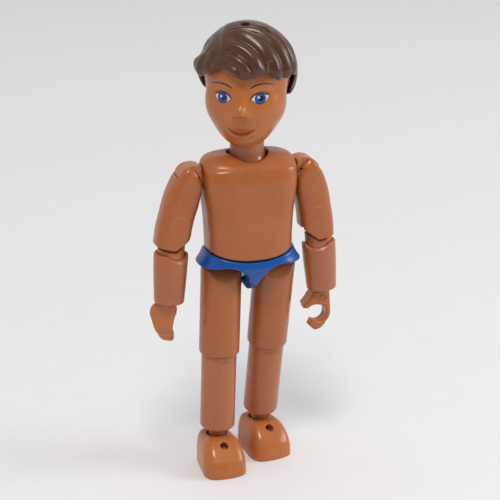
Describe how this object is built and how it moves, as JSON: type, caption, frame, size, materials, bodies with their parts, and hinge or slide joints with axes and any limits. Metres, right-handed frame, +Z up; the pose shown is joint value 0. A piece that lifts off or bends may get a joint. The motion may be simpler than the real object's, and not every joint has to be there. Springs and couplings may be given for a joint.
{
  "type": "jointed doll",
  "caption": "Jointed plastic doll in blue briefs with a moulded brown hair cap, a turning head, hinged shoulders, elbows, hips and knees, swivelling clip hands and turning feet.",
  "frame": {"origin": "on the floor under the middle of the doll's bounding box", "axes": "+Z up along the doll, -Y out of its chest, +X toward the doll's left hand"},
  "size_m": [0.044, 0.0248, 0.1046],
  "materials": {
    "skin": "moulded tan plastic, satin gloss",
    "skin_pink": "moulded tan plastic, a little pinker, satin gloss",
    "skin_orange": "moulded tan plastic, a little more orange, gloss",
    "briefs": "moulded blue plastic, gloss",
    "hair": "moulded brown plastic, gloss"
  },
  "bodies": {
    "torso": {"torso_front": "skin", "torso_rear": "skin", "pelvis_core": "skin", "briefs": "briefs", "hip_axle": "skin"},
    "head": {"head": "skin", "hair": "hair", "neck_post": "skin_pink"},
    "left_shoulder": {"left_shoulder_link": "skin_orange"},
    "left_upper_arm": {"left_upper_arm": "skin", "left_shoulder_pin": "skin", "left_elbow_pin": "skin"},
    "left_forearm": {"left_elbow_link": "skin_orange", "left_forearm": "skin_pink"},
    "left_hand": {"left_hand": "skin"},
    "left_thigh": {"left_thigh": "skin", "left_knee_pin": "skin"},
    "left_shin": {"left_knee_link": "skin_orange", "left_shin": "skin_pink", "left_ankle_peg": "skin_pink"},
    "left_foot": {"left_foot": "skin_orange"},
    "right_shoulder": {"right_shoulder_link": "skin_orange"},
    "right_upper_arm": {"right_upper_arm": "skin", "right_shoulder_pin": "skin", "right_elbow_pin": "skin"},
    "right_forearm": {"right_elbow_link": "skin_orange", "right_forearm": "skin_pink"},
    "right_hand": {"right_hand": "skin"},
    "right_thigh": {"right_thigh": "skin", "right_knee_pin": "skin"},
    "right_shin": {"right_knee_link": "skin_orange", "right_shin": "skin_pink", "right_ankle_peg": "skin_pink"},
    "right_foot": {"right_foot": "skin_orange"}
  },
  "joints": [
    {"name": "neck_turn", "type": "hinge", "parent": "torso", "child": "head", "pos_m": [0.00097, -0.00186, 0.07642], "axis": [0, 0, 1], "range_deg": [-66, 114]},
    {"name": "left_shoulder_swing", "type": "hinge", "parent": "torso", "child": "left_shoulder", "pos_m": [0.01357, -0.00186, 0.07092], "axis": [-1, 0, 0], "continuous": true},
    {"name": "left_shoulder_lift", "type": "hinge", "parent": "left_shoulder", "child": "left_upper_arm", "pos_m": [0.01357, -0.00186, 0.07092], "axis": [0, -1, 0], "range_deg": [0, 35]},
    {"name": "left_elbow_bend", "type": "hinge", "parent": "left_upper_arm", "child": "left_forearm", "pos_m": [0.01617, -0.00186, 0.06132], "axis": [0, 1, 0], "range_deg": [-4, 5]},
    {"name": "left_wrist_turn", "type": "hinge", "parent": "left_forearm", "child": "left_hand", "pos_m": [0.01861, -0.00186, 0.04265], "axis": [-0.0767, 0, 0.9971], "continuous": true},
    {"name": "left_hip_swing", "type": "hinge", "parent": "torso", "child": "left_thigh", "pos_m": [0.00712, -0.00136, 0.04622], "axis": [-1, 0, 0], "range_deg": [-18, 100]},
    {"name": "left_knee_bend", "type": "hinge", "parent": "left_thigh", "child": "left_shin", "pos_m": [0.00674, 0.00176, 0.03155], "axis": [0.9997, 0, -0.0262], "range_deg": [0, 90]},
    {"name": "left_ankle_turn", "type": "hinge", "parent": "left_shin", "child": "left_foot", "pos_m": [0.00605, 0.00735, 0.0047], "axis": [0, 0, 1], "range_deg": [-5, 45]},
    {"name": "right_shoulder_swing", "type": "hinge", "parent": "torso", "child": "right_shoulder", "pos_m": [-0.01163, -0.00186, 0.07092], "axis": [-1, 0, 0], "continuous": true},
    {"name": "right_shoulder_lift", "type": "hinge", "parent": "right_shoulder", "child": "right_upper_arm", "pos_m": [-0.01163, -0.00186, 0.07092], "axis": [0, 1, 0], "range_deg": [-4, 29]},
    {"name": "right_elbow_bend", "type": "hinge", "parent": "right_upper_arm", "child": "right_forearm", "pos_m": [-0.01522, -0.00186, 0.06164], "axis": [0, -1, 0], "range_deg": [-10, 10]},
    {"name": "right_wrist_turn", "type": "hinge", "parent": "right_forearm", "child": "right_hand", "pos_m": [-0.0174, -0.00186, 0.04294], "axis": [0.0628, 0, 0.998], "continuous": true},
    {"name": "right_hip_swing", "type": "hinge", "parent": "torso", "child": "right_thigh", "pos_m": [-0.00518, -0.00136, 0.04622], "axis": [-1, 0, 0], "range_deg": [-26, 91]},
    {"name": "right_knee_bend", "type": "hinge", "parent": "right_thigh", "child": "right_shin", "pos_m": [-0.00547, -0.00045, 0.03125], "axis": [0.9998, 0, -0.0192], "range_deg": [0, 90]},
    {"name": "right_ankle_turn", "type": "hinge", "parent": "right_shin", "child": "right_foot", "pos_m": [-0.00598, 0.0012, 0.0047], "axis": [0, 0, -1], "range_deg": [-5, 45]}
  ]
}
